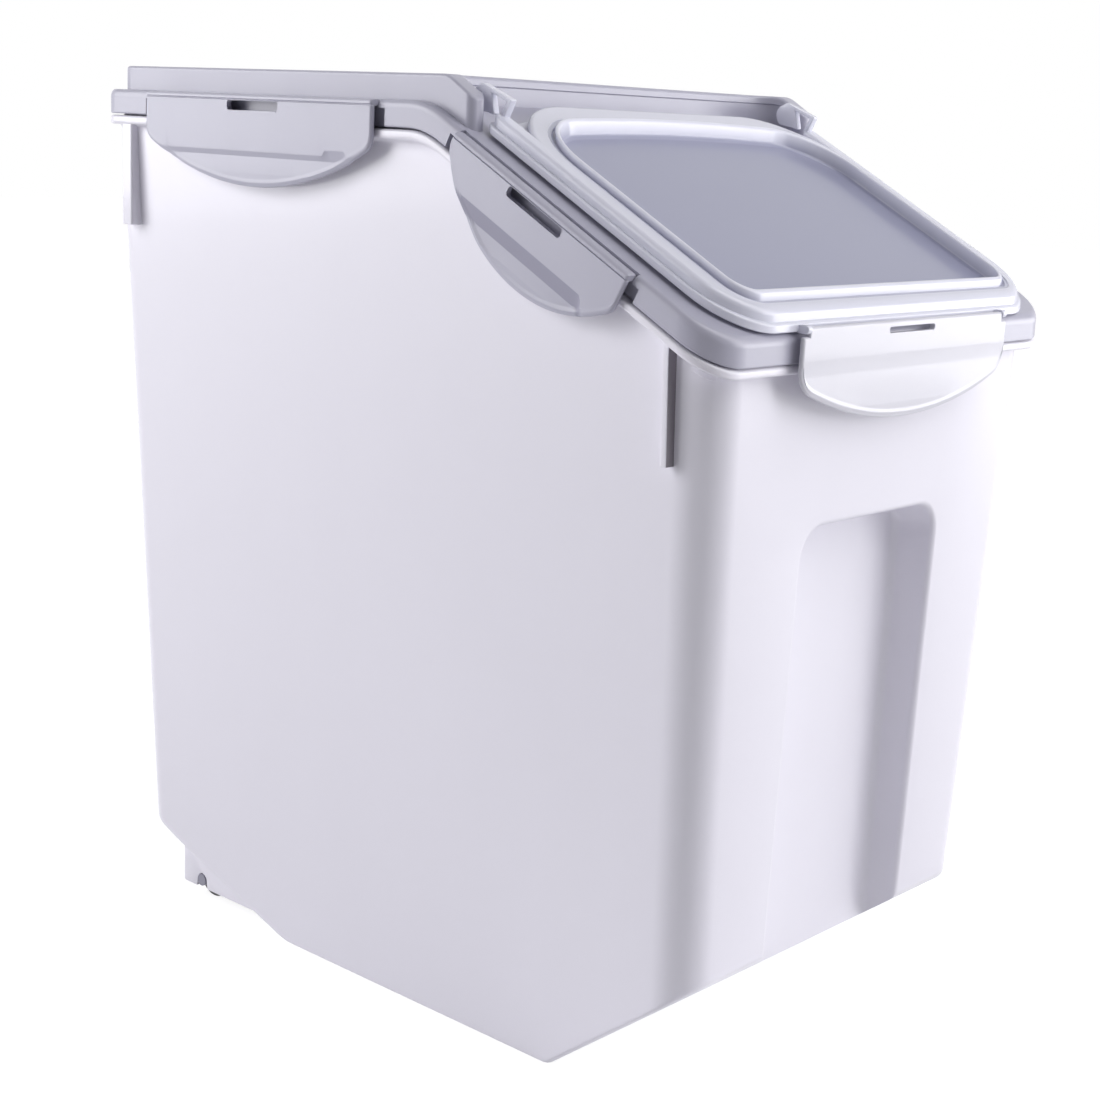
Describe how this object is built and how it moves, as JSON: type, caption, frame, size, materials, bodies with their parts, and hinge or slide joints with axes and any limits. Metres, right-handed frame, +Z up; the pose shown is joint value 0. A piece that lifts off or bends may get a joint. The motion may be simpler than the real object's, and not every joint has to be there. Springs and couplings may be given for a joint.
{
  "type": "rice bin",
  "caption": "Wheeled food storage bin with a slanted clip-on lid frame, side latches and a hinged translucent flip lid over the front opening.",
  "frame": {"origin": "on the floor plane under the middle of the bin, midway between the side walls", "axes": "+X to the right of someone facing the flip lid from behind the bin, -Y out of the front with the flip lid, +Z up"},
  "size_m": [0.2386, 0.3513, 0.3853],
  "materials": {
    "bin_plastic": "smooth off-white polypropylene",
    "lid_plastic": "smooth light grey polypropylene",
    "clear_plastic": "translucent frosted polypropylene",
    "seal": "soft white silicone",
    "wheel_plastic": "dark moulded plastic",
    "axle_plastic": "light moulded plastic"
  },
  "bodies": {
    "bin": {"bin_body": "bin_plastic", "axle_left": "axle_plastic", "axle_right": "axle_plastic"},
    "lid": {"lid_frame": "lid_plastic", "lid_gasket": "seal"},
    "flip_lid": {"flip_lid": "clear_plastic", "flip_lid_gasket": "seal"},
    "front_latch": {"front_latch": "clear_plastic"},
    "rear_latch_left": {"rear_latch_left": "lid_plastic"},
    "rear_latch_right": {"rear_latch_right": "lid_plastic"},
    "slant_latch_left": {"slant_latch_left": "lid_plastic"},
    "slant_latch_right": {"slant_latch_right": "lid_plastic"},
    "wheel_left": {"wheel_left": "wheel_plastic"},
    "wheel_right": {"wheel_right": "wheel_plastic"}
  },
  "joints": [
    {"name": "lid_lift", "type": "slide", "parent": "bin", "child": "lid", "axis": [0, 0, 1], "range_m": [0, 0.12]},
    {"name": "flip_lid_hinge", "type": "hinge", "parent": "lid", "child": "flip_lid", "pos_m": [0, -0.0435, 0.3775], "axis": [-1, 0, 0], "range_deg": [0, 130]},
    {"name": "front_latch_hinge", "type": "hinge", "parent": "flip_lid", "child": "front_latch", "pos_m": [0, -0.1769, 0.3022], "axis": [-1, 0, 0], "range_deg": [0, 95]},
    {"name": "rear_latch_left_hinge", "type": "hinge", "parent": "lid", "child": "rear_latch_left", "pos_m": [-0.1147, 0.0656, 0.3739], "axis": [0, 1, 0], "range_deg": [0, 95]},
    {"name": "slant_latch_left_hinge", "type": "hinge", "parent": "lid", "child": "slant_latch_left", "pos_m": [-0.1147, -0.09308, 0.34098], "axis": [0, 0.8854, 0.4648], "range_deg": [0, 95]},
    {"name": "wheel_left_spin", "type": "hinge", "parent": "bin", "child": "wheel_left", "pos_m": [-0.079, 0.129, 0.0103], "axis": [1, 0, 0], "continuous": true},
    {"name": "rear_latch_right_hinge", "type": "hinge", "parent": "lid", "child": "rear_latch_right", "pos_m": [0.1147, 0.0656, 0.3739], "axis": [0, -1, 0], "range_deg": [0, 95]},
    {"name": "slant_latch_right_hinge", "type": "hinge", "parent": "lid", "child": "slant_latch_right", "pos_m": [0.1147, -0.09308, 0.34098], "axis": [0, -0.8854, -0.4648], "range_deg": [0, 95]},
    {"name": "wheel_right_spin", "type": "hinge", "parent": "bin", "child": "wheel_right", "pos_m": [0.079, 0.129, 0.0103], "axis": [1, 0, 0], "continuous": true}
  ]
}
